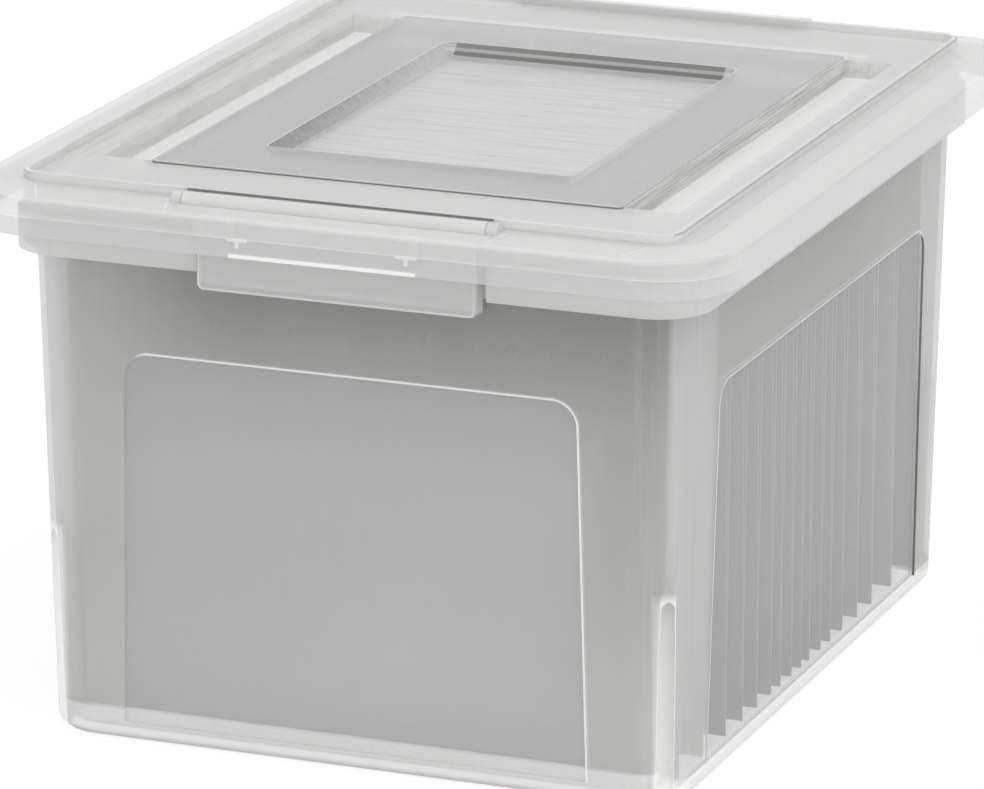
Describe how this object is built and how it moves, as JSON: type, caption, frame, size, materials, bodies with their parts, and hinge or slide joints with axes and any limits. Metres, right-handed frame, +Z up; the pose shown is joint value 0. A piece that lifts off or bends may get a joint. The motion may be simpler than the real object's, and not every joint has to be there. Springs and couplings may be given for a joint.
{
  "type": "portable file box",
  "caption": "Frosted clear storage box for hanging letter folders, with a lift-off lid, drop latches at front and back and a recessed label well.",
  "frame": {"origin": "middle of the foot, on the surface that the box stands on", "axes": "+Z up; -Y the front, a short side with a latch; +X to the right"},
  "size_m": [0.368, 0.453, 0.2707],
  "materials": {
    "tub_plastic": "frosted clear polypropylene",
    "lid_plastic": "frosted clear polypropylene",
    "latch_plastic": "frosted clear polypropylene",
    "card": "matt grey card",
    "rod_steel": "plain steel strip"
  },
  "bodies": {
    "tub": {"tub": "tub_plastic"},
    "lid": {"lid": "lid_plastic"},
    "latch_front": {"latch_front": "latch_plastic"},
    "latch_back": {"latch_back": "latch_plastic"},
    "folder_1": {"folder_card_1": "card", "folder_front_rod_1": "rod_steel", "folder_back_rod_1": "rod_steel"},
    "folder_2": {"folder_card_2": "card", "folder_front_rod_2": "rod_steel", "folder_back_rod_2": "rod_steel"},
    "folder_3": {"folder_card_3": "card", "folder_front_rod_3": "rod_steel", "folder_back_rod_3": "rod_steel"},
    "folder_4": {"folder_card_4": "card", "folder_front_rod_4": "rod_steel", "folder_back_rod_4": "rod_steel"},
    "folder_5": {"folder_card_5": "card", "folder_front_rod_5": "rod_steel", "folder_back_rod_5": "rod_steel"},
    "folder_6": {"folder_card_6": "card", "folder_front_rod_6": "rod_steel", "folder_back_rod_6": "rod_steel"},
    "folder_7": {"folder_card_7": "card", "folder_front_rod_7": "rod_steel", "folder_back_rod_7": "rod_steel"},
    "folder_8": {"folder_card_8": "card", "folder_front_rod_8": "rod_steel", "folder_back_rod_8": "rod_steel"},
    "folder_9": {"folder_card_9": "card", "folder_front_rod_9": "rod_steel", "folder_back_rod_9": "rod_steel"},
    "folder_10": {"folder_card_10": "card", "folder_front_rod_10": "rod_steel", "folder_back_rod_10": "rod_steel"},
    "folder_11": {"folder_card_11": "card", "folder_front_rod_11": "rod_steel", "folder_back_rod_11": "rod_steel"},
    "folder_12": {"folder_card_12": "card", "folder_front_rod_12": "rod_steel", "folder_back_rod_12": "rod_steel"},
    "folder_13": {"folder_card_13": "card", "folder_front_rod_13": "rod_steel", "folder_back_rod_13": "rod_steel"},
    "folder_14": {"folder_card_14": "card", "folder_front_rod_14": "rod_steel", "folder_back_rod_14": "rod_steel"},
    "folder_15": {"folder_card_15": "card", "folder_front_rod_15": "rod_steel", "folder_back_rod_15": "rod_steel"},
    "folder_16": {"folder_card_16": "card", "folder_front_rod_16": "rod_steel", "folder_back_rod_16": "rod_steel"},
    "folder_17": {"folder_card_17": "card", "folder_front_rod_17": "rod_steel", "folder_back_rod_17": "rod_steel"}
  },
  "joints": [
    {"name": "lid_lift", "type": "slide", "parent": "tub", "child": "lid", "axis": [0, 0, 1], "range_m": [0, 0.08]},
    {"name": "latch_front_swing", "type": "hinge", "parent": "lid", "child": "latch_front", "pos_m": [0, -0.20946, 0.2664], "axis": [-1, 0, 0], "range_deg": [0, 30]},
    {"name": "latch_back_swing", "type": "hinge", "parent": "lid", "child": "latch_back", "pos_m": [0, 0.20946, 0.2664], "axis": [1, 0, 0], "range_deg": [0, 30]},
    {"name": "folder_1_slide", "type": "slide", "parent": "tub", "child": "folder_1", "axis": [0, 1, 0], "range_m": [-0.0068, 0.024]},
    {"name": "folder_2_slide", "type": "slide", "parent": "tub", "child": "folder_2", "axis": [0, 1, 0], "range_m": [-0.024, 0.0223]},
    {"name": "folder_3_slide", "type": "slide", "parent": "tub", "child": "folder_3", "axis": [0, 1, 0], "range_m": [-0.0223, 0.0148]},
    {"name": "folder_4_slide", "type": "slide", "parent": "tub", "child": "folder_4", "axis": [0, 1, 0], "range_m": [-0.0148, 0.0119]},
    {"name": "folder_5_slide", "type": "slide", "parent": "tub", "child": "folder_5", "axis": [0, 1, 0], "range_m": [-0.0119, 0.0114]},
    {"name": "folder_6_slide", "type": "slide", "parent": "tub", "child": "folder_6", "axis": [0, 1, 0], "range_m": [-0.0114, 0.0052]},
    {"name": "folder_7_slide", "type": "slide", "parent": "tub", "child": "folder_7", "axis": [0, 1, 0], "range_m": [-0.0052, 0.0074]},
    {"name": "folder_8_slide", "type": "slide", "parent": "tub", "child": "folder_8", "axis": [0, 1, 0], "range_m": [-0.0074, 0.0055]},
    {"name": "folder_9_slide", "type": "slide", "parent": "tub", "child": "folder_9", "axis": [0, 1, 0], "range_m": [-0.0055, 0.0036]},
    {"name": "folder_10_slide", "type": "slide", "parent": "tub", "child": "folder_10", "axis": [0, 1, 0], "range_m": [-0.0036, 0.0082]},
    {"name": "folder_11_slide", "type": "slide", "parent": "tub", "child": "folder_11", "axis": [0, 1, 0], "range_m": [-0.0082, 0.0058]},
    {"name": "folder_12_slide", "type": "slide", "parent": "tub", "child": "folder_12", "axis": [0, 1, 0], "range_m": [-0.0058, 0.0097]},
    {"name": "folder_13_slide", "type": "slide", "parent": "tub", "child": "folder_13", "axis": [0, 1, 0], "range_m": [-0.0097, 0.0138]},
    {"name": "folder_14_slide", "type": "slide", "parent": "tub", "child": "folder_14", "axis": [0, 1, 0], "range_m": [-0.0138, 0.0137]},
    {"name": "folder_15_slide", "type": "slide", "parent": "tub", "child": "folder_15", "axis": [0, 1, 0], "range_m": [-0.0137, 0.022]},
    {"name": "folder_16_slide", "type": "slide", "parent": "tub", "child": "folder_16", "axis": [0, 1, 0], "range_m": [-0.022, 0.0245]},
    {"name": "folder_17_slide", "type": "slide", "parent": "tub", "child": "folder_17", "axis": [0, 1, 0], "range_m": [-0.0245, 0.0068]}
  ]
}
